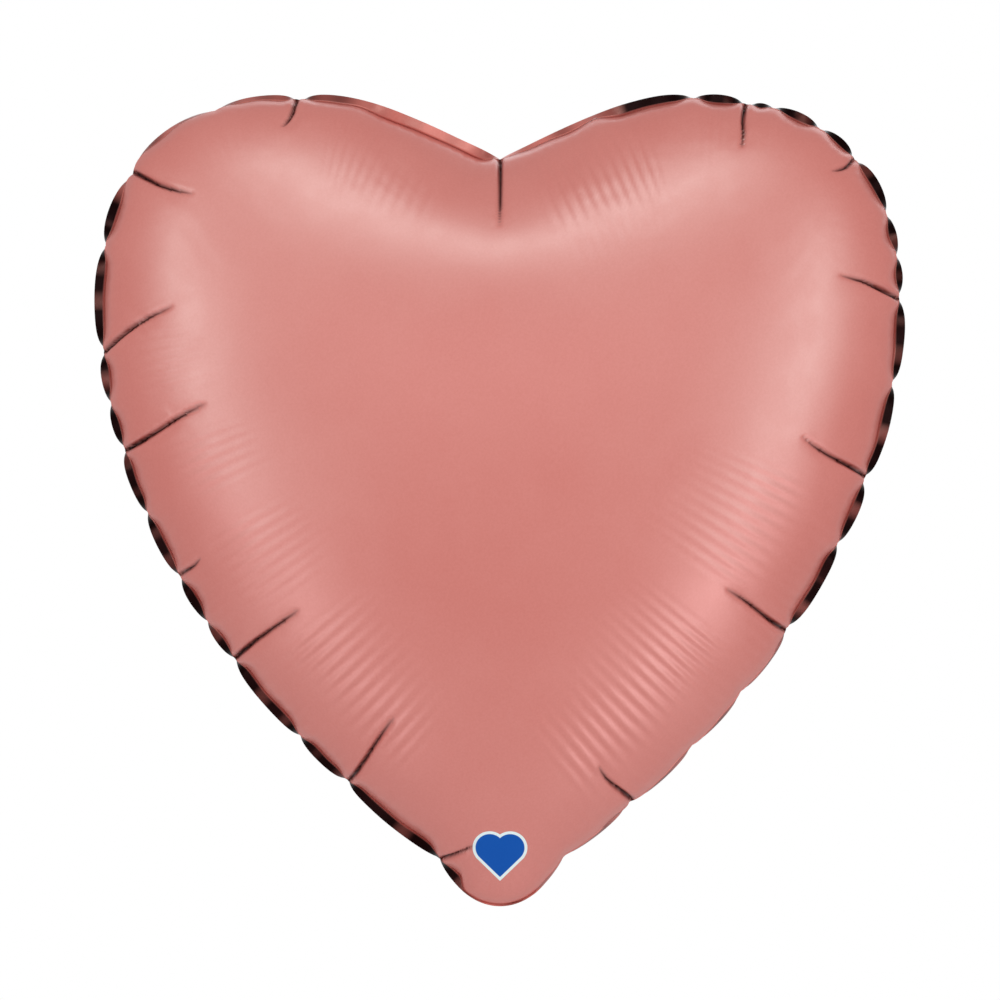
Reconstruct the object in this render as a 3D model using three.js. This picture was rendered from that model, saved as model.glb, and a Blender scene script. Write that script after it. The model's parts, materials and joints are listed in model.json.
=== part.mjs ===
// A heart-shaped foil balloon, filled with gas: two panels of metallised film welded round their rim,
// a filling neck folded up behind the tip, and the two films of the self-sealing valve inside the neck.
// Millimetres, +Z up. The front faces -Y. The origin is the middle of the neck's fold, below the tip.
import * as THREE from "three";
import { ParametricGeometry } from "three/addons/geometries/ParametricGeometry.js";

// The filled heart.
const HEART_WIDTH = 398;
const HEART_HEIGHT = 400; // from the fold to the top of the lobes
const HEART_DEPTH = 150; // through both panels
const CLEFT_DEPTH = 31; // from the top of the lobes down to the cleft
const LOBE_SPREAD = 184; // between the tops of the two lobes
const WIDEST_DROP = 105; // from the top of the lobes down to the widest place
const TIP_WIDTH = 57; // where the straight sides give way to the rounded tip
const TIP_HEIGHT = 17;
const SIDE_SLOPE = THREE.MathUtils.degToRad(36); // of the sides where they meet the rounded tip

// The film and its welds.
const FILM = 0.4;
const WELD_MARGIN = 5;
const CLEARANCE = 0.3; // between films that lie on each other

// The filling neck and its valve.
const NECK_WIDTH = 34;
const NECK_LENGTH = 75;
const NECK_WELD = 3; // the welded lip down each side
const FOLD_GAP = 1.2; // from the fold's axis to the first of the folded films
const TIP_LIFT = 4; // from the fold's axis up to the panels' edge
const VALVE_REACH = 48; // how far the valve runs up inside the heart
const VALVE_SETBACK = 9; // from the neck's mouth to the valve's

// Half the room between the two panels, where they are welded and where the valve passes between them.
const WELD_HALF_GAP = CLEARANCE / 2;
const VALVE_FACE = CLEARANCE / 2 + FILM;
const NECK_HALF_GAP = VALVE_FACE + CLEARANCE;
const NECK_HALF_THICKNESS = NECK_HALF_GAP + FILM;

// The flat of the neck between its welded lips, as far as the valve reaches to each side of the middle.
const NECK_LIP = NECK_WIDTH / 2 - NECK_WELD;
const NECK_CROWN = NECK_LIP - 2 * (NECK_HALF_GAP - WELD_HALF_GAP);

// The grid over a panel.
const RINGS = 9; // from the middle out to the weld
const CHORD_DIRECTIONS = 24; // tried at each point to find the height of the film

const ROSE_FOIL = { color: 0xd48f86, roughness: 0.4, metalness: 0.85 };
const CLEAR_FILM = { color: 0xe6e8ea, roughness: 0.25, metalness: 0 };

// The heart's right edge, from the cleft over the lobe and down to the tip.
function heartEdge() {
  const lobeX = LOBE_SPREAD / 2;
  const wideX = HEART_WIDTH / 2;
  const wideZ = HEART_HEIGHT - WIDEST_DROP;
  const tipX = TIP_WIDTH / 2;
  const tipZ = TIP_LIFT + TIP_HEIGHT;
  const cleftZ = HEART_HEIGHT - CLEFT_DEPTH;
  const slope = new THREE.Vector2(Math.cos(SIDE_SLOPE), Math.sin(SIDE_SLOPE));
  const sideReach = (0.71 * (wideX - tipX)) / slope.x;
  const roundReach = (0.1 * tipX) / slope.x;
  const cleft = new THREE.Vector2(0, cleftZ);
  const lobeTop = new THREE.Vector2(lobeX, HEART_HEIGHT);
  const widest = new THREE.Vector2(wideX, wideZ);
  const tipShoulder = new THREE.Vector2(tipX, tipZ);
  const tip = new THREE.Vector2(0, TIP_LIFT);
  const lobeFullness = 0.68;
  return [
    {
      steps: 8,
      curve: new THREE.CubicBezierCurve(
        cleft,
        new THREE.Vector2(0.33 * lobeX, cleftZ + 0.37 * CLEFT_DEPTH),
        new THREE.Vector2(0.69 * lobeX, HEART_HEIGHT),
        lobeTop,
      ),
    },
    {
      steps: 11,
      curve: new THREE.CubicBezierCurve(
        lobeTop,
        new THREE.Vector2(lobeX + lobeFullness * (wideX - lobeX), HEART_HEIGHT),
        new THREE.Vector2(wideX, wideZ + lobeFullness * WIDEST_DROP),
        widest,
      ),
    },
    {
      steps: 17,
      curve: new THREE.CubicBezierCurve(
        widest,
        new THREE.Vector2(wideX, wideZ - 0.29 * (wideZ - tipZ)),
        tipShoulder.clone().addScaledVector(slope, sideReach),
        tipShoulder,
      ),
    },
    {
      steps: 5,
      curve: new THREE.CubicBezierCurve(
        tipShoulder,
        tipShoulder.clone().addScaledVector(slope, -roundReach),
        new THREE.Vector2(0.75 * tipX, TIP_LIFT),
        tip,
      ),
    },
  ];
}

// The whole heart's edge as points in X and Z, clockwise from the cleft.
function heartOutline() {
  const right = heartEdge().flatMap(({ curve, steps }) => curve.getSpacedPoints(steps).slice(0, -1));
  const tip = new THREE.Vector2(0, TIP_LIFT);
  const left = right
    .slice(1)
    .reverse()
    .map((p) => new THREE.Vector2(-p.x, p.y));
  return [...right, tip, ...left];
}

// The outline moved inwards by a distance.
function insetOutline(outline, distance) {
  return outline.map((p, i) => {
    const before = outline.at(i - 1);
    const after = outline[(i + 1) % outline.length];
    const along = after.clone().sub(before).normalize();
    return new THREE.Vector2(p.x + along.y * distance, p.y - along.x * distance);
  });
}

// How far a ray from a point runs before it meets the outline.
function rayLength(point, direction, outline) {
  let nearest = Infinity;
  outline.forEach((a, i) => {
    const b = outline[(i + 1) % outline.length];
    const edge = b.clone().sub(a);
    const cross = direction.cross(edge);
    if (Math.abs(cross) < 1e-9) return;
    const to = a.clone().sub(point);
    const along = to.cross(edge) / cross;
    const share = to.cross(direction) / cross;
    if (along > 0 && share >= 0 && share <= 1) nearest = Math.min(nearest, along);
  });
  return nearest;
}

// The square of the height that an even pressure gives a film held round the outline, up to a factor:
// the products of the two arms of the chords through the point, averaged. It is exact for a disc and a strip.
function pressureHeight(point, outline) {
  let sum = 0;
  for (let i = 0; i < CHORD_DIRECTIONS; i++) {
    const angle = ((i + 0.5) * Math.PI) / CHORD_DIRECTIONS;
    const direction = new THREE.Vector2(Math.cos(angle), Math.sin(angle));
    const ahead = rayLength(point, direction, outline);
    const behind = rayLength(point, direction.clone().negate(), outline);
    sum += 1 / (ahead * behind);
  }
  return CHORD_DIRECTIONS / sum;
}

const outline = heartOutline();
const weldLine = insetOutline(outline, WELD_MARGIN);
const domeFoot = insetOutline(outline, WELD_MARGIN - FILM);
const SPOKES = outline.length;
const middle = new THREE.Vector2(0, HEART_HEIGHT - WIDEST_DROP - 0.15 * HEART_HEIGHT);

// A ring's distance from the middle as a share of the way to the weld; rings close up towards the steep rim.
const ringShare = (ring) => Math.sin((ring / RINGS) * (Math.PI / 2));

// The height of each point of the panel's grid, from 0 at the weld to 1 at the fullest place.
function domeHeights() {
  const rings = [];
  for (let ring = 0; ring < RINGS; ring++) {
    rings.push(
      weldLine.map((p) => {
        const point = middle.clone().lerp(p, ringShare(ring));
        return Math.sqrt(pressureHeight(point, weldLine));
      }),
    );
  }
  const fullest = Math.max(...rings.flat());
  return rings.map((heights) => heights.map((h) => h / fullest));
}

const heights = domeHeights();

// Half the room between the panels at a place on the rim: wide across the neck, closed at the weld.
function rimHalfGap(spoke) {
  const p = outline[spoke];
  const beside = THREE.MathUtils.smoothstep(Math.abs(p.x), NECK_WIDTH / 2, NECK_WIDTH / 2 + 3 * WELD_MARGIN);
  const above = THREE.MathUtils.smoothstep(p.y, TIP_LIFT + TIP_HEIGHT, TIP_LIFT + 2 * TIP_HEIGHT);
  return THREE.MathUtils.lerp(NECK_HALF_GAP, WELD_HALF_GAP, Math.max(beside, above));
}

// A point on one face of a panel: out is 0 on the inner face and 1 on the outer.
function facePoint(spoke, ring, out) {
  const foot = out ? domeFoot[spoke] : weldLine[spoke];
  const flat = middle.clone().lerp(foot, ringShare(ring));
  const rise = ring < RINGS ? heights[ring][spoke] * (HEART_DEPTH / 2 - WELD_HALF_GAP - FILM) : 0;
  const gap = THREE.MathUtils.lerp(WELD_HALF_GAP, rimHalfGap(spoke), ringShare(ring));
  return new THREE.Vector3(flat.x, gap + rise + out * FILM, flat.y);
}

// A point on the panel's cut edge.
function edgePoint(spoke, out) {
  return new THREE.Vector3(outline[spoke].x, rimHalfGap(spoke) + out * FILM, outline[spoke].y);
}

// One panel: out over the outer face, round the cut edge and back over the inner face. Side is -1 in front.
function panelGeometry(side) {
  const stations = [];
  for (let ring = 0; ring <= RINGS; ring++) stations.push((spoke) => facePoint(spoke, ring, 1));
  stations.push((spoke) => edgePoint(spoke, 1));
  stations.push((spoke) => edgePoint(spoke, 0));
  for (let ring = RINGS; ring >= 0; ring--) stations.push((spoke) => facePoint(spoke, ring, 0));
  const last = stations.length - 1;
  const place = (u, v, target) => {
    const turn = side < 0 ? u : 1 - u;
    const spoke = Math.round(turn * SPOKES) % SPOKES;
    target.copy(stations[Math.round(v * last)](spoke));
    target.y *= side;
  };
  return new ParametricGeometry(place, SPOKES, last);
}

// How far from upright the neck leans back, folded up so that it lies against the back panel.
function neckLean() {
  const standOff = NECK_HALF_THICKNESS + CLEARANCE;
  let lean = 0;
  outline.forEach((_, spoke) => {
    const points = [edgePoint(spoke, 1)];
    for (let ring = 0; ring <= RINGS; ring++) points.push(facePoint(spoke, ring, 1));
    for (const p of points) {
      const reach = Math.hypot(p.y, p.z);
      if (Math.abs(p.x) > NECK_WIDTH || reach > NECK_LENGTH) continue;
      lean = Math.max(lean, Math.atan2(p.y, p.z) + Math.asin(standOff / reach));
    }
  });
  return lean;
}

// The section of one of the neck's films across its width: a flat crown between two welded lips.
function neckSection() {
  const half = NECK_WIDTH / 2;
  const face = [
    [half, WELD_HALF_GAP],
    [NECK_LIP, WELD_HALF_GAP],
    [NECK_CROWN, NECK_HALF_GAP],
    [-NECK_CROWN, NECK_HALF_GAP],
    [-NECK_LIP, WELD_HALF_GAP],
    [-half, WELD_HALF_GAP],
  ];
  const inner = face.map(([x, y]) => new THREE.Vector2(x, y));
  const outer = face.map(([x, y]) => new THREE.Vector2(x, y + FILM)).reverse();
  return new THREE.Shape([...inner, ...outer]);
}

// A rectangle across the width of the valve, as thick as its film.
function valveSection() {
  return new THREE.Shape([
    new THREE.Vector2(-NECK_CROWN, CLEARANCE / 2),
    new THREE.Vector2(NECK_CROWN, CLEARANCE / 2),
    new THREE.Vector2(NECK_CROWN, VALVE_FACE),
    new THREE.Vector2(-NECK_CROWN, VALVE_FACE),
  ]);
}

// A straight film with the given section between two heights, on the front (-1) or back (+1) of the middle plane.
function straightFilm(section, bottom, top, side) {
  const geometry = new THREE.ExtrudeGeometry(section, { depth: top - bottom, bevelEnabled: false });
  if (side < 0) geometry.rotateZ(Math.PI);
  return geometry.translate(0, 0, bottom);
}

function namedMesh(name, geometry, look) {
  const mesh = new THREE.Mesh(geometry, new THREE.MeshStandardMaterial(look));
  mesh.name = name;
  return mesh;
}

// The heart: both panels, and the part of the valve that reaches up between them.
function heart() {
  const group = new THREE.Group();
  const bottom = TIP_LIFT;
  const top = TIP_LIFT + VALVE_REACH;
  group.add(
    namedMesh("front_panel", panelGeometry(-1), ROSE_FOIL),
    namedMesh("back_panel", panelGeometry(1), ROSE_FOIL),
    namedMesh("valve_front_film_inner", straightFilm(valveSection(), bottom, top, -1), CLEAR_FILM),
    namedMesh("valve_back_film_inner", straightFilm(valveSection(), bottom, top, 1), CLEAR_FILM),
  );
  return group;
}

// The neck as it was welded, straight below the tip, and then folded up behind it.
function neck() {
  const group = new THREE.Group();
  const valveEnd = VALVE_SETBACK - NECK_LENGTH;
  group.add(
    namedMesh("neck_front_film", straightFilm(neckSection(), -NECK_LENGTH, -FOLD_GAP, -1), ROSE_FOIL),
    namedMesh("neck_back_film", straightFilm(neckSection(), -NECK_LENGTH, -FOLD_GAP, 1), ROSE_FOIL),
    namedMesh("valve_front_film_neck", straightFilm(valveSection(), valveEnd, -FOLD_GAP, -1), CLEAR_FILM),
    namedMesh("valve_back_film_neck", straightFilm(valveSection(), valveEnd, -FOLD_GAP, 1), CLEAR_FILM),
  );
  group.rotation.x = Math.PI - neckLean();
  return group;
}

const balloon = new THREE.Group();
balloon.add(heart(), neck());

export default balloon;
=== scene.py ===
"""A filled heart-shaped foil balloon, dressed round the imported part.

Everything is in metres in the part's own frame: X runs to the right across the heart, -Y is out of the
front, +Z is up, and the origin is the middle of the neck's fold, just below the tip of the heart.
"""

import sys

import json
import logging
import math
from dataclasses import dataclass
from enum import Enum

import bpy
import numpy as np
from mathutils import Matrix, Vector


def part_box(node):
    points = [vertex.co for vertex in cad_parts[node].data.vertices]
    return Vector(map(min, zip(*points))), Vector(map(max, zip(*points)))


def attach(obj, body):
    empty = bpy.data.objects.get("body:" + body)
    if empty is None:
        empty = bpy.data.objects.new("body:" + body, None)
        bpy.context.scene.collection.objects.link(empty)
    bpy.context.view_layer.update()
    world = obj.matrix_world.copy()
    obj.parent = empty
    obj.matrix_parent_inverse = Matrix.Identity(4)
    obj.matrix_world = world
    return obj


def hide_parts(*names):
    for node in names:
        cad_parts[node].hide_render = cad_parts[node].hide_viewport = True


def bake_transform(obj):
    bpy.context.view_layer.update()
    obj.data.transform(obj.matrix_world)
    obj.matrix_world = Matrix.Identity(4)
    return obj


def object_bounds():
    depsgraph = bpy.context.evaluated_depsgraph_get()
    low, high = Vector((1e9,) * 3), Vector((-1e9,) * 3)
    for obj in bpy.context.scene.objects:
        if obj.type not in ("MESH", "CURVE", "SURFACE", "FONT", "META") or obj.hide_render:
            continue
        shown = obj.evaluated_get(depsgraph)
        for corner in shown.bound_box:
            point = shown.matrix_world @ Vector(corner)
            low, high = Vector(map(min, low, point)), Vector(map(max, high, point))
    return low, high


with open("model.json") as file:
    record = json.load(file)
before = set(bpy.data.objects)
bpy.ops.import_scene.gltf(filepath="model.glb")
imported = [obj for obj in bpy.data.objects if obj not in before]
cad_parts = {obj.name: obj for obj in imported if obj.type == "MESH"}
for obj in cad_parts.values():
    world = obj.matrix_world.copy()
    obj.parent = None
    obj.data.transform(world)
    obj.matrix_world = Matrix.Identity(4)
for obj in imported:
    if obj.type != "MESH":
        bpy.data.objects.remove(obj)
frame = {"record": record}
cad_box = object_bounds()

log = logging.getLogger("balloon")
MM = 0.001


class Side(Enum):
    """Which of the two panels a film belongs to; the value is the sign of its Y."""

    FRONT = -1
    BACK = 1


def smooth(value: np.ndarray, low: float, high: float) -> np.ndarray:
    """Eases from 0 at low to 1 at high.

    Args:
        value: the numbers to ease.
        low: where the step begins.
        high: where the step ends; it may be below low.

    Returns:
        Numbers from 0 to 1.
    """
    t = np.clip((value - low) / (high - low), 0.0, 1.0)
    return t * t * (3.0 - 2.0 * t)


def rim_gap(a: np.ndarray, b: float | np.ndarray) -> np.ndarray:
    """The signed distance from share b to shares a, the short way round the rim."""
    return (a - b + 0.5) % 1.0 - 0.5


def bell(distance: np.ndarray, width: float) -> np.ndarray:
    """A bell curve over the distance, 1 in its middle."""
    return np.exp(-((distance / width) ** 2))


def waves_round(share: np.ndarray, count: int, phase: float = 0.0) -> np.ndarray:
    """A sine with so many waves round the rim, at shares of the way round."""
    return np.sin(share * 2 * math.pi * count + phase)


# ---------------------------------------------------------------------------------------------------
# The heart's outline and what gathers it
# ---------------------------------------------------------------------------------------------------


@dataclass(frozen=True)
class Pleat:
    """A fold where the rim gathers and a crease runs into both panels.

    Attributes:
        at: place on the rim, as a share of the way round from the cleft, over the right lobe.
        reach: length of the crease from the weld.
        lean: degrees that the crease leans from square to the rim, towards the next place round.
        bite: how far the rim is drawn in.
        depth: how deep the crease is at the rim.
    """

    at: float
    reach: float
    lean: float
    bite: float = 4.5 * MM
    depth: float = 3.4 * MM


PLEATS = (
    Pleat(0.0, 36 * MM, 0, 0.5 * MM, 3.2 * MM),
    Pleat(0.1001, 24 * MM, -4),
    Pleat(0.1488, 15 * MM, -9, 4.5 * MM, 2.6 * MM),
    Pleat(0.2068, 33 * MM, -17, 3.5 * MM),
    Pleat(0.2792, 39 * MM, -12, 5.0 * MM),
    Pleat(0.3446, 38 * MM, 4, 4.0 * MM),
    Pleat(0.4352, 25 * MM, -2, 5.0 * MM),
    Pleat(0.5300, 20 * MM, -9, 1.0 * MM, 2.6 * MM),
    Pleat(0.5769, 41 * MM, 5, 3.0 * MM),
    Pleat(0.6408, 42 * MM, 1, 2.5 * MM, 3.8 * MM),
    Pleat(0.6792, 15 * MM, 10, 3.0 * MM, 2.6 * MM),
    Pleat(0.7333, 48 * MM, 8, 4.0 * MM, 3.8 * MM),
    Pleat(0.7723, 42 * MM, 24, 4.5 * MM),
    Pleat(0.8435, 34 * MM, 13, 5.0 * MM),
    Pleat(0.9182, 17 * MM, -28, 4.5 * MM),
)


@dataclass(frozen=True)
class Tuck:
    """A small notch in the rim between two pleats: its place round the rim and how far it is drawn in."""

    at: float
    bite: float


TUCKS = (
    Tuck(0.0790, 2.0 * MM),
    Tuck(0.1106, 1.5 * MM),
    Tuck(0.1306, 3.0 * MM),
    Tuck(0.1738, 2.6 * MM),
    Tuck(0.1906, 1.8 * MM),
    Tuck(0.2404, 3.6 * MM),
    Tuck(0.3062, 2.6 * MM),
    Tuck(0.3749, 2.4 * MM),
    Tuck(0.4026, 2.6 * MM),
    Tuck(0.4674, 0.8 * MM),
    Tuck(0.6020, 1.8 * MM),
    Tuck(0.6590, 1.6 * MM),
    Tuck(0.7070, 2.0 * MM),
    Tuck(0.7518, 2.2 * MM),
    Tuck(0.8133, 2.8 * MM),
    Tuck(0.8850, 2.0 * MM),
)


@dataclass(frozen=True)
class Flutes:
    """Fine parallel ripples square to the rim, in one patch of a panel.

    Attributes:
        start: first place on the rim, as a share of the way round.
        end: last place on the rim.
        near: distance from the rim where they begin.
        far: distance from the rim where they die out.
        height: how high they stand.
        pitch: distance from ripple to ripple.
    """

    start: float
    end: float
    near: float
    far: float
    height: float
    pitch: float


FLUTES = (
    Flutes(0.003, 0.062, 8 * MM, 76 * MM, 0.432 * MM, 5.8 * MM),
    Flutes(0.072, 0.098, 8 * MM, 44 * MM, 0.180 * MM, 5.6 * MM),
    Flutes(0.285, 0.350, 22 * MM, 104 * MM, 0.306 * MM, 6.8 * MM),
    Flutes(0.358, 0.452, 10 * MM, 98 * MM, 0.432 * MM, 6.4 * MM),
    Flutes(0.560, 0.638, 14 * MM, 98 * MM, 0.432 * MM, 6.6 * MM),
    Flutes(0.642, 0.692, 18 * MM, 90 * MM, 0.306 * MM, 6.4 * MM),
    Flutes(0.697, 0.735, 20 * MM, 84 * MM, 0.252 * MM, 6.2 * MM),
    Flutes(0.742, 0.785, 18 * MM, 70 * MM, 0.252 * MM, 6.0 * MM),
    Flutes(0.925, 0.992, 10 * MM, 66 * MM, 0.234 * MM, 6.2 * MM),
)


@dataclass(frozen=True)
class Turn:
    """How the weld margin stands, and how dark its painted reflection is, along one stretch of the rim.

    Attributes:
        start: first place on the rim, as a share of the way round.
        end: last place.
        lean: degrees that the margin leans back from the plane of the rim.
        tone: the margin's painted reflection, from 0, painted near black, to 1, as pale as the film.
    """

    start: float
    end: float
    lean: float
    tone: float


# The tones paint the weld margin's reflection into its colour: near black where it stands for a dark
# reflection, pale where it stands for a bright one.
TURNS = (
    Turn(0.000, 0.045, 66.0, 0.85),
    Turn(0.045, 0.345, 30.0, 0.0),
    Turn(0.345, 0.475, 88.0, 0.6),
    Turn(0.475, 0.512, 88.0, 0.8),
    Turn(0.512, 0.835, 28.0, 0.0),
    Turn(0.835, 0.905, 80.0, 0.6),
    Turn(0.905, 0.945, 46.0, 0.45),
    Turn(0.945, 1.000, 24.0, 0.95),
)


@dataclass(frozen=True)
class CreaseShape:
    """The cross-section that all creases share.

    Attributes:
        groove: half the width of the broad groove, which the gas can't fill.
        hold: half the width of what the simulation holds still.
        slit: half the width of the slit at the bottom.
        lip_at: from the slit to the lip on each side.
        lip: half the width of a lip.
        twin_at: from the slit to the soft second groove beside it.
        twin: half the width of that groove.
        lip_height: height of the lips, as a share of the crease's depth.
        slit_depth: depth of the slit, as a share of it.
        sway: how far the crease bends to and fro, as a share of the rim's gather.
        light_depth: how deep a slit is before its painted shade begins.
        dark_depth: how much deeper it is where its painted shade is darkest.
    """

    groove: float = 2.6 * MM
    hold: float = 1.6 * MM
    slit: float = 0.7 * MM
    lip_at: float = 2.8 * MM
    lip: float = 1.6 * MM
    twin_at: float = 3.4 * MM
    twin: float = 1.3 * MM
    lip_height: float = 0.16
    slit_depth: float = 1.1
    sway: float = 0.28
    light_depth: float = 0.15 * MM
    dark_depth: float = 1.6 * MM


CREASE = CreaseShape()
TIP_AT = 0.5


@dataclass
class HeartRim:
    """The heart's outline, which the weld margin's cut edge follows.

    Attributes:
        width: across the filled heart.
        top: height of the lobes' tops.
        tip: height of the lowest edge of the panels.
        cleft_depth: from the lobes' tops down to the cleft.
        lobe_spread: between the lobes' tops.
        widest_drop: from the lobes' tops down to the widest place.
        tip_width: where the sides give way to the rounded tip.
        tip_height: of the rounded tip.
        side_slope: degrees, where the sides meet the rounded tip.
        cleft_pull: how the curve out of the cleft is pulled: across and up, then across under the lobe's top.
        lobe_pull: how square the lobe's outer shoulder is.
        side_pull: how far the long side runs straight, down from its widest place and up from the tip.
        tip_pull: how the rounded tip is pulled: across and up, then across along its lowest edge.
        margin: width of the weld margin.
        margin_starts: distances from the tip between which the margin gives way to the neck.
        pleat_spread: how far along the rim a pleat draws it in.
        tuck_spread: the same for a tuck.
        bulge: the furthest that the film bulges out between two gathers.
        bulge_share: the same, as a share of the way between them.
        notch_turn: how near to a gather the margin turns back.
    """

    width: float
    top: float
    tip: float
    cleft_depth: float = 31 * MM
    lobe_spread: float = 184 * MM
    widest_drop: float = 105 * MM
    tip_width: float = 63 * MM
    tip_height: float = 22.5 * MM
    side_slope: float = 36.0
    cleft_pull: tuple[float, float, float] = (0.33, 0.37, 0.69)
    lobe_pull: float = 0.68
    side_pull: tuple[float, float] = (0.29, 0.71)
    tip_pull: tuple[float, float, float] = (0.68, 0.34, 0.36)
    margin: float = 5 * MM
    margin_starts: tuple[float, float] = (18 * MM, 26 * MM)
    pleat_spread: float = 3.2 * MM
    tuck_spread: float = 2.6 * MM
    bulge: float = 1.5 * MM
    bulge_share: float = 0.035
    notch_turn: float = 6 * MM

    def __post_init__(self) -> None:
        """Draws the outline once, as close points in X and Z with their distance round the rim."""
        right = np.vstack([self._arc(c) for c in self._curves()] + [np.array([[0.0, self.tip]])])
        left = (right * [-1.0, 1.0])[::-1][1:]
        self.points = np.vstack([right, left])
        steps = np.hypot(*np.diff(self.points, axis=0).T)
        self.run = np.concatenate([[0.0], np.cumsum(steps)])
        self.length = float(self.run[-1])
        along = np.roll(self.points[:-1], -1, 0) - np.roll(self.points[:-1], 1, 0)
        along /= np.hypot(*along.T)[:, None]
        out = np.column_stack([-along[:, 1], along[:, 0]])
        self._out = np.vstack([out, out[:1]])
        notches = sorted({p.at % 1.0 for p in PLEATS} | {t.at for t in TUCKS})
        self._notches = np.array(notches)

    def _curves(self) -> list[np.ndarray]:
        """The right half as four cubic curves, from the cleft over the lobe and down to the tip."""
        lobe = self.lobe_spread / 2
        wide = self.width / 2
        wide_z = self.top - self.widest_drop
        cleft = self.top - self.cleft_depth
        angle = math.radians(self.side_slope)
        slope = np.array([math.cos(angle), math.sin(angle)])
        shoulder = np.array([self.tip_width / 2, self.tip + self.tip_height])
        out, rise, over = self.cleft_pull
        pull = self.lobe_pull
        down, up = self.side_pull
        near, lift, low = self.tip_pull
        reach = up * (wide - shoulder[0]) / slope[0]
        curves = (
            (
                (0, cleft),
                (out * lobe, cleft + rise * self.cleft_depth),
                (over * lobe, self.top),
                (lobe, self.top),
            ),
            (
                (lobe, self.top),
                (lobe + pull * (wide - lobe), self.top),
                (wide, wide_z + pull * self.widest_drop),
                (wide, wide_z),
            ),
            (
                (wide, wide_z),
                (wide, wide_z - down * (wide_z - shoulder[1])),
                shoulder + slope * reach,
                shoulder,
            ),
            (
                shoulder,
                (near * shoulder[0], self.tip + lift * self.tip_height),
                (low * shoulder[0], self.tip),
                (0, self.tip),
            ),
        )
        return [np.array(curve) for curve in curves]

    @staticmethod
    def _arc(curve: np.ndarray, steps: int = 220) -> np.ndarray:
        """Points along a cubic curve, without its last one."""
        t = np.linspace(0.0, 1.0, steps + 1)[:-1, None]
        a, b, c, d = curve
        return (1 - t) ** 3 * a + 3 * t * (1 - t) ** 2 * b + 3 * t * t * (1 - t) * c + t**3 * d

    def at(self, share: np.ndarray) -> np.ndarray:
        """Points of the outline in X and Z at shares of the way round."""
        s = (share % 1.0) * self.length
        return np.column_stack([np.interp(s, self.run, self.points[:, k]) for k in (0, 1)])

    def outward(self, share: np.ndarray) -> np.ndarray:
        """Unit vectors in X and Z that point out of the heart at shares of the way round."""
        s = (share % 1.0) * self.length
        out = np.column_stack([np.interp(s, self.run, self._out[:, k]) for k in (0, 1)])
        return out / np.hypot(*out.T)[:, None]

    def nearest(self, plan: np.ndarray) -> tuple[np.ndarray, np.ndarray]:
        """Where on the rim each point in X and Z is nearest to.

        Args:
            plan: points in X and Z.

        Returns:
            Their shares of the way round, and their distances from the rim.
        """
        share = np.empty(len(plan))
        away = np.empty(len(plan))
        line = self.points[:-1:2]
        run = self.run[:-1:2]
        out = self._out[:-1:2]
        gap = self.length / len(line)
        block = 4000
        for i in range(0, len(plan), block):
            part = plan[i : i + block]
            d = np.hypot(part[:, :1] - line[:, 0], part[:, 1:] - line[:, 1])
            best = d.argmin(1)
            past = ((part - line[best]) * (out[best][:, ::-1] * [1.0, -1.0])).sum(1)
            share[i : i + block] = (run[best] + np.clip(past, -gap, gap)) / self.length
            away[i : i + block] = d[np.arange(len(d)), best]
        return share % 1.0, away

    def drawn_in(self, share: np.ndarray) -> np.ndarray:
        """How far the gathers draw the rim in, less what the film bulges out between them."""
        total = np.zeros_like(share)
        gathers = [(p, self.pleat_spread) for p in PLEATS] + [(t, self.tuck_spread) for t in TUCKS]
        for gather, spread in gathers:
            total += gather.bite * np.exp(-np.abs(rim_gap(share, gather.at)) * self.length / spread)
        notches = np.concatenate([self._notches, [1.0]])
        i = np.clip(np.searchsorted(notches, share % 1.0, side="right") - 1, 0, len(notches) - 2)
        span = notches[i + 1] - notches[i]
        t = (share % 1.0 - notches[i]) / span
        bulge = np.minimum(self.bulge, self.bulge_share * span * self.length)
        fullness = 0.8
        return total - bulge * np.sin(math.pi * t) ** fullness

    def along_turns(self, share: np.ndarray, values: list[float]) -> np.ndarray:
        """Eases from one stretch's value to the next along the rim.

        Args:
            share: places on the rim.
            values: one number for each of the turns.

        Returns:
            The number at each place.
        """
        ease = 0.007
        total = np.zeros_like(share)
        weight = np.zeros_like(share)
        for turn, value in zip(TURNS, values):
            half = (turn.end - turn.start) / 2
            inside = np.abs(rim_gap(share, (turn.start + turn.end) / 2)) - half
            w = 1.0 - smooth(inside, -ease, ease)
            total += w * value
            weight += w
        return total / np.maximum(weight, 1e-6)

    def margin_lean(self, share: np.ndarray) -> np.ndarray:
        """How far the weld margin leans back, in radians: furthest at the gathers."""
        flat, furthest = 90.0, 86.0
        waves = 6.0 * waves_round(share, 31) + 4.0 * waves_round(share, 53, 1.0)
        lean = np.minimum(self.along_turns(share, [t.lean for t in TURNS]) + waves, flat)
        gaps = np.abs(rim_gap(share[:, None], self._notches[None, :])).min(1) * self.length
        turned = 0.85 * bell(gaps, self.notch_turn)
        return np.radians(lean + (furthest - np.minimum(lean, furthest)) * turned)

    def margin_painted_reflection(self, share: np.ndarray) -> np.ndarray:
        """How pale the weld margin's painted reflection is, from 0, painted near black, to 1."""
        mottle = 0.25 * waves_round(share, 47) * waves_round(share, 19, 2.0)
        return np.clip(self.along_turns(share, [t.tone for t in TURNS]) + mottle - 0.05, 0.0, 1.0)

    def margin_width(self, share: np.ndarray) -> np.ndarray:
        """Width of the weld margin, which gives way to the neck at the tip."""
        return self.margin * smooth(np.abs(rim_gap(share, TIP_AT)) * self.length, *self.margin_starts)

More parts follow.
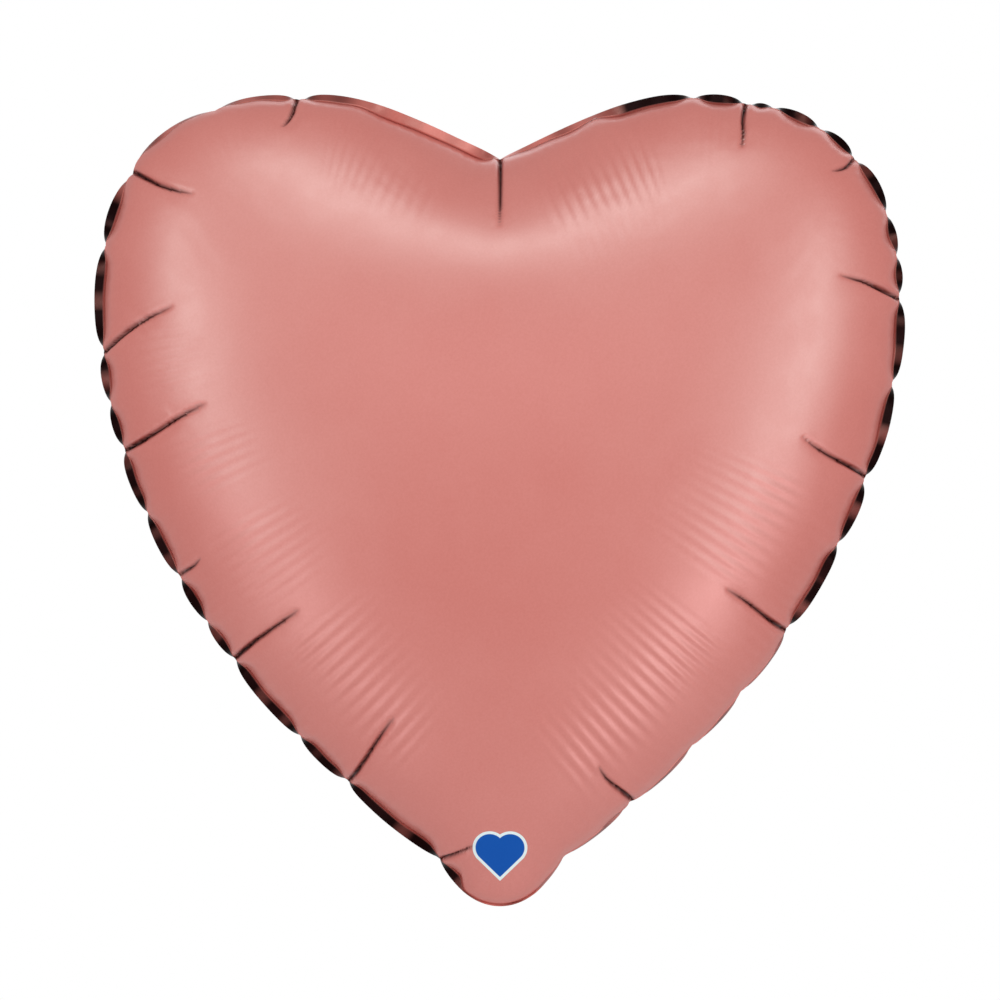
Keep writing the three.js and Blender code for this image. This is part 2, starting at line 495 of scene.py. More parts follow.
    def weld(self, share: np.ndarray) -> np.ndarray:
        """The weld line in space, where the two panels part."""
        inset = self.margin_width(share) * np.cos(self.margin_lean(share)) + 0.35 * self.drawn_in(share)
        plan = self.at(share) - self.outward(share) * inset[:, None]
        sway = 0.9 * MM * waves_round(share, 23, 0.6) + 0.6 * MM * waves_round(share, 41)
        sway *= 1.0 - bell(rim_gap(share, TIP_AT), 0.03)
        return np.column_stack([plan[:, 0], sway, plan[:, 1]])

    def margin_point(self, share: np.ndarray, across: float) -> np.ndarray:
        """Points of the weld margin, from the weld (across 0) to its cut edge (across 1)."""
        lean = self.margin_lean(share)
        out = self.outward(share)
        width = self.margin_width(share)
        reach = (np.cos(lean) * width - 0.65 * self.drawn_in(share)) * across
        back = np.sin(lean) * width * across
        return self.weld(share) + np.column_stack([out[:, 0] * reach, back, out[:, 1] * reach])


# ---------------------------------------------------------------------------------------------------
# Meshes as arrays
# ---------------------------------------------------------------------------------------------------


def bridge(outer: np.ndarray, inner: np.ndarray, outer_at: np.ndarray, inner_at: np.ndarray) -> list[tuple]:
    """Joins two closed rings of vertices with a band of triangles.

    Args:
        outer: vertex numbers of the outer ring, clockwise from the front.
        inner: vertex numbers of the inner ring.
        outer_at: shares of the way round of the outer ring's vertices, rising.
        inner_at: the same for the inner ring.

    Returns:
        Triangles that face the front.
    """
    triangles = []
    i = j = 0
    n, m = len(outer), len(inner)
    while i < n or j < m:
        next_outer = outer_at[i + 1] if i + 1 < n else 1.0 + outer_at[0] if i < n else math.inf
        next_inner = inner_at[j + 1] if j + 1 < m else 1.0 + inner_at[0] if j < m else math.inf
        if next_outer <= next_inner:
            triangles.append((outer[i % n], inner[j % m], outer[(i + 1) % n]))
            i += 1
        else:
            triangles.append((outer[i % n], inner[j % m], inner[(j + 1) % m]))
            j += 1
    return triangles


def grid_faces(rows: int, columns: int) -> list[tuple]:
    """The four-sided faces of a grid whose vertices are numbered along its rows."""
    corners = [r * columns + c for r in range(rows - 1) for c in range(columns - 1)]
    return [(a, a + 1, a + columns + 1, a + columns) for a in corners]

def new_object(name: str, points: np.ndarray, faces: list) -> bpy.types.Object:
    """A smooth-shaded mesh object in the scene, at the origin, with its points where they are."""
    mesh = bpy.data.meshes.new(name)
    mesh.from_pydata([tuple(map(float, p)) for p in points], [], [tuple(map(int, f)) for f in faces])
    mesh.validate()
    mesh.shade_smooth()
    obj = bpy.data.objects.new(name, mesh)
    bpy.context.scene.collection.objects.link(obj)
    return obj


def unit_normals(points: np.ndarray, triangles: np.ndarray) -> np.ndarray:
    """Unit normals at the vertices of a triangle mesh."""
    a, b, c = (points[triangles[:, k]] for k in range(3))
    faces = np.cross(b - a, c - a)
    total = np.zeros_like(points)
    for k in range(3):
        np.add.at(total, triangles[:, k], faces)
    return total / np.maximum(np.linalg.norm(total, axis=1), 1e-12)[:, None]


def refine(values: np.ndarray, triangles: np.ndarray) -> tuple[np.ndarray, np.ndarray]:
    """Splits each triangle in four by Loop's rules, which round the surface and keep its open edge.

    Args:
        values: one row of numbers for each vertex, its place among them.
        triangles: rows of three vertex numbers.

    Returns:
        The rows of the finer mesh and its triangles.
    """
    count = len(values)
    corners = triangles[:, [0, 1, 1, 2, 2, 0]].reshape(-1, 2)
    opposite = triangles[:, [2, 0, 1]].ravel()
    edges, which = np.unique(np.sort(corners, axis=1), axis=0, return_inverse=True)
    which = which.ravel()
    uses = np.bincount(which)
    across = np.zeros((len(edges), values.shape[1]))
    np.add.at(across, which, values[opposite])
    ends = values[edges].sum(1)
    rim = uses == 1
    middles = np.where(rim[:, None], ends / 2, ends * 3 / 8 + across / 8)
    degree = np.bincount(edges.ravel(), minlength=count)
    around = np.zeros_like(values)
    rim_around = np.zeros_like(values)
    for k in (0, 1):
        np.add.at(around, edges[:, k], values[edges[:, 1 - k]])
        np.add.at(rim_around, edges[rim, k], values[edges[rim, 1 - k]])
    beta = np.where(degree == 3, 3 / 16, 3 / (8 * np.maximum(degree, 1)))[:, None]
    moved = values * (1 - degree[:, None] * beta) + around * beta
    on_rim = np.zeros(count, bool)
    on_rim[edges[rim].ravel()] = True
    moved[on_rim] = values[on_rim] * 0.75 + rim_around[on_rim] / 8
    ab, bc, ca = (count + which.reshape(-1, 3)[:, k] for k in range(3))
    a, b, c = triangles.T
    finer = [(a, ab, ca), (ab, b, bc), (ca, bc, c), (ab, bc, ca)]
    return np.vstack([moved, middles]), np.vstack([np.column_stack(t) for t in finer])


def points_of(mesh: bpy.types.Mesh) -> np.ndarray:
    """The mesh's vertices as rows of X, Y and Z."""
    flat = np.empty(len(mesh.vertices) * 3, np.float32)
    mesh.vertices.foreach_get("co", flat)
    return flat.reshape(-1, 3).astype(float)


def put_points(mesh: bpy.types.Mesh, points: np.ndarray) -> None:
    """Moves the mesh's vertices to new places."""
    mesh.vertices.foreach_set("co", points.astype(np.float32).ravel())
    mesh.update()


def evaluated_points(obj: bpy.types.Object) -> np.ndarray:
    """The object's vertices with its modifiers at work."""
    graph = bpy.context.evaluated_depsgraph_get()
    shown = obj.evaluated_get(graph)
    points = points_of(shown.to_mesh())
    shown.to_mesh_clear()
    return points


# ---------------------------------------------------------------------------------------------------
# The panels
# ---------------------------------------------------------------------------------------------------


@dataclass
class FoilPanel:
    """One of the two heart panels: a film that the gas bows out from its welded rim.

    Attributes:
        side: front or back.
        rim: the outline it is welded along.
        rise: height of its fullest place over the plane of the rim.
        middle: the place in X and Z that its rings close round.
        finest: the size of its first mesh at the weld.
        growth: how much coarser each ring of it is than the one outside it.
        coarsest: the size of its first mesh in the middle.
        slack: how much too long the film is near the rim, as a share.
        pressure: of the gas, in the simulation's own unit.
        frames: length of the simulation.
        most_move: the furthest that the simulation may move the film.
        fineness: how many times the mesh is split in four afterwards.
    """

    side: Side
    rim: HeartRim
    rise: float
    middle: tuple[float, float]
    finest: float = 3.1 * MM
    growth: float = 1.04
    coarsest: float = 6.4 * MM
    slack: float = 0.010
    pressure: float = 30.0
    frames: int = 30
    most_move: float = 12 * MM
    fineness: int = 2

    def rings(self) -> list[tuple[float, int]]:
        """Each ring's share of the way from the middle to the weld, and its number of points."""
        spread = math.sqrt(self.rim.width * (self.rim.top - self.rim.tip)) / 2
        along, across = 1.08, 0.92
        rings = []
        share, step = 1.0, self.finest
        while share * spread > step * 0.8:
            count = max(6, round(self.rim.length * share / (along * step)))
            rings.append((share, count))
            share -= across * step / spread
            step = min(step * self.growth, self.coarsest)
        return rings

    def grid(self) -> tuple[np.ndarray, np.ndarray, list[tuple]]:
        """The panel's mesh in the plane of the rim.

        Returns:
            Points in X and Z, the weld ring's shares of the way round, and triangles.
        """
        middle = np.array(self.middle)
        plans, faces, ring_ids, ring_at = [], [], [], []
        count = 0
        for k, (share, n) in enumerate(self.rings()):
            at = (np.arange(n) + 0.5 * (k % 2)) / n
            edge = self.rim.weld(at)[:, [0, 2]]
            plans.append(middle + share * (edge - middle))
            ring_ids.append(np.arange(count, count + n))
            ring_at.append(at)
            count += n
        for k in range(len(ring_ids) - 1):
            faces += bridge(ring_ids[k], ring_ids[k + 1], ring_at[k], ring_at[k + 1])
        hub = count
        plans.append(middle[None, :])
        last = ring_ids[-1]
        faces += [(last[i], hub, last[(i + 1) % len(last)]) for i in range(len(last))]
        return np.vstack(plans), ring_at[0], faces

    def bowed_height(self, plan: np.ndarray, directions: int = 72) -> np.ndarray:
        """The height that an even pressure gives a film held round the rim, from 0 to 1.

        The products of the two arms of the chords through each point are averaged.

        Args:
            plan: points in X and Z inside the weld.
            directions: how many chords are drawn through each point.

        Returns:
            Heights, 0 at the weld and 1 at the fullest place.
        """
        at = np.arange(300) / 300
        weld_share, tiny = 0.85, 1e-12
        inset = weld_share * self.rim.margin_width(at) * np.cos(self.rim.margin_lean(at))
        a = self.rim.at(at) - self.rim.outward(at) * inset[:, None]
        edge = np.roll(a, -1, 0) - a
        total = np.zeros(len(plan))
        to = a[None, :, :] - plan[:, None, :]
        cross_edge = to[..., 0] * edge[:, 1] - to[..., 1] * edge[:, 0]
        for i in range(directions):
            angle = (i + 0.5) * math.pi / directions
            d = (math.cos(angle), math.sin(angle))
            cross = d[0] * edge[:, 1] - d[1] * edge[:, 0]
            cross = np.where(np.abs(cross) < tiny, tiny, cross)
            along = cross_edge / cross
            share = (to[..., 0] * d[1] - to[..., 1] * d[0]) / cross
            hit = (share >= 0.0) & (share <= 1.0)
            ahead = np.where(hit & (along > 0), along, np.inf).min(1)
            behind = np.where(hit & (along < 0), -along, np.inf).min(1)
            total += 1.0 / np.maximum(np.minimum(ahead, 1.0) * np.minimum(behind, 1.0), 1e-9)
        height = np.sqrt(directions / total)
        return height / height.max()

    def crease(self, plan: np.ndarray, pleat: Pleat) -> tuple[np.ndarray, np.ndarray, np.ndarray]:
        """Where points lie beside one pleat's crease.

        Args:
            plan: points in X and Z.
            pleat: the pleat.

        Returns:
            How far along the crease each point is, from 0 at the weld to 1 at its end, how far to its side,
            and the direction of that side.
        """
        at = np.array([pleat.at])
        start = self.rim.weld(at)[0, [0, 2]]
        out = self.rim.outward(at)[0]
        if pleat.at == 0.0:
            out = np.array([0.0, 1.0])
        lean = math.radians(pleat.lean)
        ahead = np.array([out[1], -out[0]])
        line = -out * math.cos(lean) + ahead * math.sin(lean)
        side = np.array([line[1], -line[0]])
        away = plan - start
        along = away @ line / pleat.reach
        swing = np.sin(np.clip(along, 0, 1) * math.pi * 1.3 + 40 * pleat.at)
        return along, away @ side + CREASE.sway * pleat.bite * swing, side

    def start_shape(self, plan: np.ndarray) -> tuple[np.ndarray, np.ndarray]:
        """The panel before the gas fills out the film between its creases.

        Args:
            plan: the mesh's points in X and Z.

        Returns:
            The points in space, and how firmly each is held, from 0 to 1.
        """
        held = np.zeros(len(plan))
        groove = np.zeros(len(plan))
        for p in PLEATS:
            along, beside, _ = self.crease(plan, p)
            fade = np.clip(1.0 - along, 0.0, 1.0) * (along > -0.3)
            groove = np.maximum(groove, p.depth * fade**0.8 * bell(beside, CREASE.groove))
            held = np.maximum(held, 0.9 * fade**0.6 * bell(beside, CREASE.hold))
        depth = np.maximum(self.bowed_height(plan) * self.rise - groove, 0.0)
        return np.column_stack([plan[:, 0], self.side.value * depth, plan[:, 1]]), held

    def fill(self, obj: bpy.types.Object, held: np.ndarray, taut: np.ndarray) -> None:
        """Lets gas pressure fill out the film between what is held, as a cloth simulation.

        Args:
            obj: the panel, which is changed.
            held: how firmly each point is held, from 0 to 1.
            taut: from 0, where the film has slack to gather, to 1, where it has none.
        """
        start = points_of(obj.data)
        for name, weights in (("held", held), ("taut", taut)):
            group = obj.vertex_groups.new(name=name)
            for i in np.nonzero(weights > 0.01)[0]:
                group.add([int(i)], float(weights[i]), "REPLACE")
        cloth = obj.modifiers.new("gas", "CLOTH")
        film = cloth.settings
        film.quality = 6
        film.mass = 0.02
        film.tension_stiffness = 60
        film.compression_stiffness = 30
        film.shear_stiffness = 30
        film.bending_stiffness = 1.2
        film.air_damping = 2
        film.vertex_group_mass = "held"
        film.vertex_group_shrink = "taut"
        film.shrink_min = -self.slack
        film.shrink_max = 0.0
        film.use_pressure = True
        film.uniform_pressure_force = self.pressure
        film.effector_weights.gravity = 0
        cloth.collision_settings.use_collision = False
        cloth.collision_settings.use_self_collision = False
        cloth.point_cache.frame_start = 1
        cloth.point_cache.frame_end = self.frames
        for step in range(1, self.frames + 1):
            bpy.context.scene.frame_set(step)
        moved = evaluated_points(obj) - start
        obj.modifiers.clear()
        obj.vertex_groups.clear()
        bpy.context.scene.frame_set(1)
        far = np.linalg.norm(moved, axis=1)
        most, mean = far.max() / MM, far.mean() / MM
        log.info("%s: the gas moved it %.1f mm at most, %.1f mm on average", obj.name, most, mean)
        keep = self.most_move * np.tanh(far / self.most_move) / np.maximum(far, 1e-9)
        put_points(obj.data, start + moved * keep[:, None])

    @staticmethod
    def settle(
        before: np.ndarray, after: np.ndarray, triangles: np.ndarray, rounds: int = 14
    ) -> np.ndarray:
        """Evens out how far neighbouring points have moved, so that no wrinkle is as small as the mesh.

        Args:
            before: the points before the simulation, the rim's first.
            after: the points after it.
            triangles: the mesh's triangles.
            rounds: how many times each point takes the mean of itself and its neighbours.

        Returns:
            The settled points.
        """
        pairs = np.vstack([triangles[:, [0, 1]], triangles[:, [1, 2]], triangles[:, [2, 0]]])
        count = np.bincount(pairs[:, 0], minlength=len(before))[:, None]
        moved = after - before
        for _ in range(rounds):
            total = np.zeros_like(moved)
            np.add.at(total, pairs[:, 0], moved[pairs[:, 1]])
            moved = 0.5 * moved + 0.5 * total / np.maximum(count, 1)
        return before + moved

    def gather_to_creases(self, points: np.ndarray, normals: np.ndarray) -> np.ndarray:
        """Moves the points nearest to each crease along the film, so that an edge runs down the crease.

        Args:
            points: the film's points.
            normals: their unit normals.

        Returns:
            The points, moved.
        """
        plan = points[:, [0, 2]]
        _, away = self.rim.nearest(plan)
        spacing = (self.finest + 0.04 * away) / 2**self.fineness
        for p in PLEATS:
            along, beside, side = self.crease(plan, p)
            near = (np.abs(beside) < 0.58 * spacing) & (along > -0.05) & (along < 1.0) & (away > 5 * MM)
            step = np.zeros_like(points)
            step[near, 0] = -beside[near] * side[0]
            step[near, 2] = -beside[near] * side[1]
            step[near] -= normals[near] * (step[near] * normals[near]).sum(1)[:, None]
            points = points + step
        return points

    def slits(self, points: np.ndarray) -> tuple[np.ndarray, np.ndarray]:
        """How much of a crease's slit, and of the lips on its two sides, each point lies on.

        Args:
            points: the film's points.

        Returns:
            Depth of the slit and height of the lips, in metres.
        """
        plan = points[:, [0, 2]]
        slit = np.zeros(len(points))
        lip = np.zeros(len(points))
        for p in PLEATS:
            along, beside, _ = self.crease(plan, p)
            apart = np.abs(beside)
            fade = np.clip(1.0 - along, 0.0, 1.0) ** 0.6 * smooth(along, -0.12, 0.02)
            slit = np.maximum(slit, fade * p.depth * np.exp(-apart / CREASE.slit))
            lip = np.maximum(lip, fade * p.depth * bell(apart - CREASE.lip_at, CREASE.lip))
            twin = smooth(along, 0.1, 0.4) * smooth(along, 1.05, 0.7)
            aside = beside - CREASE.twin_at * (1 if p.lean > 0 else -1)
            lip -= 1.1 * twin * p.depth * bell(aside, CREASE.twin)
        return slit, lip

    def relief(self, points: np.ndarray) -> np.ndarray:
        """How far the film stands out from its smooth shape: creases, their lips, flutes and gathers."""
        share, away = self.rim.nearest(points[:, [0, 2]])
        run = share * self.rim.length
        slit, lip = self.slits(points)
        out = CREASE.lip_height * lip - CREASE.slit_depth * slit
        wander = 0.8 * np.sin(run / (19 * MM)) + 0.2 * np.sin(away / (21 * MM) + run / (9 * MM))
        ease = 0.012
        for f in FLUTES:
            window = smooth(rim_gap(share, f.start), 0.0, ease) * smooth(rim_gap(share, f.end), 0.0, -ease)
            band = smooth(away, f.near, f.near + 0.3 * (f.far - f.near)) * smooth(away, f.far, f.near)
            out += f.height * window * band * np.sin(2 * math.pi * run / f.pitch + wander)
        gather = np.sin(2 * math.pi * run / (6.3 * MM) + 2.2 * np.sin(run / (17 * MM)))
        out += 0.28 * MM * gather * np.exp(-away / (9 * MM)) * smooth(away, 4.5 * MM, 7 * MM)
        return out

    @staticmethod
    def clear_of(
        points: np.ndarray, normal: np.ndarray, limit: float, width: float, top: float
    ) -> np.ndarray:
        """Presses the film flat where the folded neck lies on it.

        Args:
            points: the film's points.
            normal: the unit normal of the neck's face, away from the heart.
            limit: the furthest that the film may reach along the normal.
            width: half the width that is pressed.
            top: how high the pressed place reaches.

        Returns:
            The points, moved.
        """
        over = points @ normal - limit
        near = smooth(np.abs(points[:, 0]), width * 1.5, width) * smooth(points[:, 2], top * 1.3, top)
        push = np.maximum(over, 0.0) * near
        return points - push[:, None] * normal

    def build(self, name: str) -> bpy.types.Object:
        """Makes the panel with its weld margin.

        Args:
            name: the piece's name.

        Returns:
            The finished mesh, with the margin's faces on its second material slot.
        """
        plan, weld_at, faces = self.grid()
        points, held = self.start_shape(plan)
        welded = slice(0, len(weld_at))
        points[welded] = self.rim.weld(weld_at)
        held[welded] = 1.0
        triangles = np.array(faces)
        if self.side is Side.BACK:
            triangles = triangles[:, ::-1]
        _, away = self.rim.nearest(plan)
        flat = new_object(name, points, list(triangles))
        self.fill(flat, held, smooth(away, 12 * MM, 60 * MM))
        points = self.settle(points, points_of(flat.data), triangles)
        bpy.data.objects.remove(flat)
        turn = np.zeros((len(points), 2))
        angle = 2 * math.pi * weld_at
        turn[welded] = np.column_stack([np.cos(angle), np.sin(angle)])
        values = np.hstack([points, turn])
        for _ in range(self.fineness):
            values, triangles = refine(values, triangles)
        points, turn = values[:, :3], values[:, 3:]
        weld = np.nonzero(np.hypot(*turn.T) > 0.95)[0]
        at = np.arctan2(turn[weld, 1], turn[weld, 0]) / (2 * math.pi) % 1.0
        order = np.argsort(at)
        weld, at = weld[order], at[order]
        points[weld] = self.rim.weld(at)
        points = self.gather_to_creases(points, unit_normals(points, triangles))
        # Painted shade: the deeper a crease's slit, the nearer to black its colour is painted, to stand for
        # the shade inside it.
        shade = np.clip((self.slits(points)[0] - CREASE.light_depth) / CREASE.dark_depth, 0.0, 1.0)
        points += unit_normals(points, triangles) * self.relief(points)[:, None]
        points[weld] = self.rim.weld(at)
        return self._with_margin(name, points, triangles, weld, at, shade)

    def _with_margin(
        self,
        name: str,
        points: np.ndarray,
        triangles: np.ndarray,
        weld: np.ndarray,
        at: np.ndarray,
        shade: np.ndarray,
    ) -> bpy.types.Object:
        """Adds the weld margin round a finished film.

        Args:
            name: the piece's name.
            points: the film's vertices.
            triangles: the film's faces.
            weld: numbers of the vertices on the weld, in order round the rim.
            at: their shares of the way round.
            shade: painted shade at each vertex, from 0 to 1, inside the film's creases.

        Returns:
            The mesh, with that painted shade, and the margin's painted dark reflection, as a vertex
            attribute.
        """
        margin = []
        inner = weld
        following = np.roll(np.arange(len(weld)), -1)
        apart = [0.0, self.side.value * 0.08 * MM, 0.0]
        for across in (0.25, 0.5, 0.75, 1.0):
            outer = np.arange(len(points), len(points) + len(weld))
            points = np.vstack([points, self.rim.margin_point(at, across) + apart])
            # The margin's shade is its painted reflection: near black where its painted reflection is dark.
            shade = np.concatenate([shade, 1.0 - self.rim.margin_painted_reflection(at)])
            quads = np.column_stack([inner, outer, outer[following], inner[following]])
            margin.append(quads if self.side is Side.FRONT else quads[:, ::-1])
            inner = outer
        faces = [tuple(t) for t in triangles] + [tuple(q) for q in np.vstack(margin)]
        panel = new_object(name, points, faces)
        slots = [int(i >= len(triangles)) for i in range(len(faces))]
        panel.data.polygons.foreach_set("material_index", slots)
        layer = panel.data.attributes.new("shade", "FLOAT", "POINT")
        layer.data.foreach_set("value", shade.astype(np.float32))
        return panel


# ---------------------------------------------------------------------------------------------------
# The neck and its valve
# ---------------------------------------------------------------------------------------------------


class Layer(Enum):
    """A film of the folded neck; the value is its share of the way from the neck's middle to its outside."""

    OUTER_FOIL = 1.0
    OUTER_VALVE = 0.3
    INNER_VALVE = -0.3
    INNER_FOIL = -1.0

    @property
    def is_foil(self) -> bool:
        """Whether it is foil, not valve film."""
        return abs(self.value) == 1.0


@dataclass
class FoldedNeck:
    """The filling neck, folded up behind the tip, with the two films of the valve inside it.

    Distances along it run from the fold: negative up into the heart, positive towards its mouth.

    Attributes:
        rim: the heart's outline, which the neck's foils start from.
        lean: radians from upright to the folded neck.
        width: across the neck.
        length: from the fold to the neck's mouth.
        valve_width: across the valve.
        valve_top: height of the valve's inner end, inside the heart.
        valve_end: distance from the fold to the valve's outer end.
        lip: width of the weld down each side.
        swell: how far each foil stands from the neck's middle at its crown.
        pressed: the same where the films are pressed together, at the fold and in the welds.
        pinch: how much narrower each side is at the fold.
        bend: how far from the fold the films begin to bend, in the middle.
        corner_bend: how much further out the bend begins at the neck's sides.
    """

    rim: HeartRim
    lean: float
    width: float
    length: float
    valve_width: float
    valve_top: float
    valve_end: float
    lip: float = 3.0 * MM
    swell: float = 1.0 * MM
    pressed: float = 0.14 * MM
    pinch: float = 2.2 * MM
    bend: float = 3.6 * MM
    corner_bend: float = 9.0 * MM

    def rim_height(self, x: np.ndarray) -> np.ndarray:
        """Height of the heart's lower edge at distances x from the middle."""
        low = self.rim.at(np.linspace(TIP_AT, TIP_AT - 0.04, 60))
        return np.interp(np.abs(x), np.abs(low[:, 0]), low[:, 1])

    def place(self, x: np.ndarray, s: np.ndarray, offset: np.ndarray) -> np.ndarray:
        """Points of a film, wrapped round the fold.

        Args:
            x: distances from the middle across the neck.
            s: distances along the neck from the fold.
            offset: distances from the neck's middle layer, positive on the outside of the fold.

        Returns:
            Points in space.
        """
        reach = self.bend + self.corner_bend * (2 * x / self.width) ** 2
        ahead = np.array([math.sin(self.lean), math.cos(self.lean)])
        t = np.clip((s + reach) / (2 * reach), 0.0, 1.0)
        down = (1 - t) ** 2 * reach + np.maximum(-s - reach, 0.0)
        back = t**2 * reach + np.maximum(s - reach, 0.0)
        y = ahead[0] * back
        z = down + ahead[1] * back
        run_y = t * ahead[0]
        run_z = t * ahead[1] - (1 - t)
        size = np.hypot(run_y, run_z)
        return np.column_stack([x, y + run_z / size * offset, z - run_y / size * offset])

    def gap(self, x: np.ndarray, s: np.ndarray) -> np.ndarray:
        """How far the foils stand from the neck's middle layer."""
        crown = self.width / 2 - self.lip
        across = np.sqrt(np.clip(1.0 - (x / crown) ** 2, 0.0, 1.0))
        opened = smooth(s, self.bend, 20 * MM) * (0.75 + 0.25 * np.sin(s / (14 * MM)))
        return self.pressed + (self.swell - self.pressed) * across * opened

    def buckle(self, x: np.ndarray, s: np.ndarray) -> np.ndarray:
        """Soft buckles that all the neck's films share, its curled mouth and the crimp of its side welds."""
        opened = smooth(s, 2 * MM, 14 * MM)
        soft = 0.30 * np.sin(s / (5.2 * MM) + x / (6 * MM))
        soft = soft + 0.22 * np.sin(s / (8.3 * MM) - x / (4.1 * MM) + 1.0)
        fan = np.sin(x / (1.7 * MM)) * bell(s - 7 * MM, 7 * MM)
        curl = smooth(s, self.length - 22 * MM, self.length) * ((x / self.width) ** 2 * 3.2 - 0.2)
        weld = smooth(np.abs(x), self.width / 2 - self.lip, self.width / 2 - self.lip * 0.8)
        crimp = 0.10 * np.sin(2 * math.pi * (s + 0.6 * x) / (1.7 * MM)) * weld
        crimp = crimp * smooth(s, 6 * MM, 10 * MM)
        return MM * (opened * soft * 0.8 + 0.22 * fan + 0.9 * curl + crimp)

    def film(self, name: str, layer: Layer) -> bpy.types.Object:
        """Makes one film of the neck.

        Args:
            name: the piece's name.
            layer: which film it is.

        Returns:
            The finished mesh.
        """
        foil = layer.is_foil
        columns, rows = (61, 150) if foil else (37, 170)
        width = self.width if foil else self.valve_width
        x, v = np.meshgrid(np.linspace(-1.0, 1.0, columns) * width / 2, np.linspace(0.0, 1.0, rows))
        x, v = x.ravel(), v.ravel()
        if foil:
            first = -(self.rim_height(x) + 1.2 * MM)
            v = np.interp(v, (0.0, 0.35, 1.0), (0.0, 0.175, 1.0))
        else:
            first = np.full_like(x, -self.valve_top)
        s = first + v * ((self.length if foil else self.valve_end) - first)
        if foil:
            x = x * (1.0 - 2 * self.pinch / self.width * bell(s + 1 * MM, 8 * MM))
        offset = self.gap(x, s) * layer.value + self.buckle(x, np.maximum(s, 0.0))
        faces = grid_faces(rows, columns)
        if layer.value > 0:
            faces = [f[::-1] for f in faces]
        return new_object(name, self.place(x, s, offset), faces)


# ---------------------------------------------------------------------------------------------------
# Finishes
# ---------------------------------------------------------------------------------------------------


Socket = bpy.types.NodeSocket


@dataclass
class NodeBench:
    """Adds and joins the nodes of one material.

    Attributes:
        tree: the material's node tree.
    """

    tree: bpy.types.NodeTree

    def add(self, kind: str, **values: object) -> bpy.types.Node:
        """Adds a node and sets its properties."""
        node = self.tree.nodes.new(kind)
        for key, value in values.items():
            setattr(node, key, value)
        return node

    def link(self, source: Socket, target: Socket) -> None:
        """Joins two sockets."""
        self.tree.links.new(source, target)

    def place(self) -> Socket:
        """Adds the place on the object, in metres."""
        return self.add("ShaderNodeTexCoord").outputs["Object"]

    def math(self, operation: str, a: object, b: object = None, c: object = None) -> Socket:
        """Adds a sum on up to three numbers or sockets and returns its result."""
        node = self.add("ShaderNodeMath", operation=operation)
        for socket, value in zip(node.inputs, (a, b, c)):
            if isinstance(value, Socket):
                self.link(value, socket)
            elif value is not None:
                socket.default_value = value
        return node.outputs[0]

    def noise(self, place: Socket, scale: float, detail: float, rough: float = 0.5) -> Socket:
        """Adds a noise of a given scale per metre and returns its factor, which is about 0.5."""
        node = self.add("ShaderNodeTexNoise")
        for key, number in (("Scale", scale), ("Detail", detail), ("Roughness", rough)):
            node.inputs[key].default_value = number
        self.link(place, node.inputs["Vector"])
        return node.outputs["Fac"]

    def spread(self, value: Socket, low: float, high: float, a: float, b: float) -> Socket:
        """Maps low to high onto a to b, and returns the result."""
        node = self.add("ShaderNodeMapRange")
        for key, number in (("From Min", low), ("From Max", high), ("To Min", a), ("To Max", b)):
            node.inputs[key].default_value = number
        self.link(value, node.inputs["Value"])
        return node.outputs["Result"]

    def blend(self, factor: Socket, a: object, b: object) -> Socket:
        """Mixes two colours or colour sockets and returns the result."""
        node = self.add("ShaderNodeMix", data_type="RGBA")
        self.link(factor, node.inputs["Factor"])
        for socket, value in ((node.inputs[6], a), (node.inputs[7], b)):
            if isinstance(value, Socket):
                self.link(value, socket)
            else:
                socket.default_value = (*value, 1.0)
        return node.outputs[2]

    def bump(self, height: Socket, strength: float, distance: float) -> Socket:
        """Adds a fine relief in the shading and returns its normal."""
        node = self.add("ShaderNodeBump")
        node.inputs["Strength"].default_value = strength
        node.inputs["Distance"].default_value = distance
        self.link(height, node.inputs["Height"])
        return node.outputs["Normal"]


def new_material(name: str) -> tuple[bpy.types.Material, NodeBench, bpy.types.Node]:
    """Makes a material with its plain shader.

    Args:
        name: the material's name.

    Returns:
        The material, its node bench and its shader.
    """
    material = bpy.data.materials.new(name)
    material.use_nodes = True
    return material, NodeBench(material.node_tree), material.node_tree.nodes["Principled BSDF"]


@dataclass(frozen=True)
class HeartPrint:
    """A plain little heart in two inks, printed low on the front foil.

    Attributes:
        centre: its place in X and Z.
        half_width: half its width, without the border.
        border: width of the border.
        metallic: how much the heart's ink reflects as a metal does.
        ink: colour of the heart.
        border_ink: colour of the border.
    """

    centre: tuple[float, float]
    half_width: float = 12.0 * MM
    border: float = 1.4 * MM
    metallic: float = 0.85
    ink: tuple[float, float, float] = (0.0, 0.10, 0.50)
    border_ink: tuple[float, float, float] = (0.95, 0.87, 0.86)

    def mask(self, bench: NodeBench, x: Socket, z: Socket, grow: float) -> Socket:
        """Makes a mask that is 1 inside the heart: a square on its corner and a disc on each upper side.

        Args:
            bench: the material's node bench.
            x: the X of the place.
            z: its Z.
            grow: how much wider than the heart the mask is, all round.

        Returns:
            The mask's socket.
        """
        half_diagonal = math.sqrt(0.5)
        soft_edge = 0.08 * MM
        square = self.half_width / (0.5 + half_diagonal)
        u = bench.math("ABSOLUTE", bench.math("SUBTRACT", x, self.centre[0]))
        w = bench.math("SUBTRACT", z, self.centre[1] - 0.1 * square)
        corner = bench.math("ADD", u, bench.math("ABSOLUTE", w))
        in_square = bench.math("MULTIPLY", bench.math("SUBTRACT", square, corner), half_diagonal)
        across, up = (bench.math("SUBTRACT", axis, square / 2) for axis in (u, w))
        squares = [bench.math("MULTIPLY", axis, axis) for axis in (across, up)]
        away = bench.math("SQRT", bench.math("ADD", *squares))
        in_disc = bench.math("SUBTRACT", square * half_diagonal, away)
        inside = bench.math("ADD", bench.math("MAXIMUM", in_square, in_disc), grow)
        return bench.spread(inside, -soft_edge, soft_edge, 0.0, 1.0)


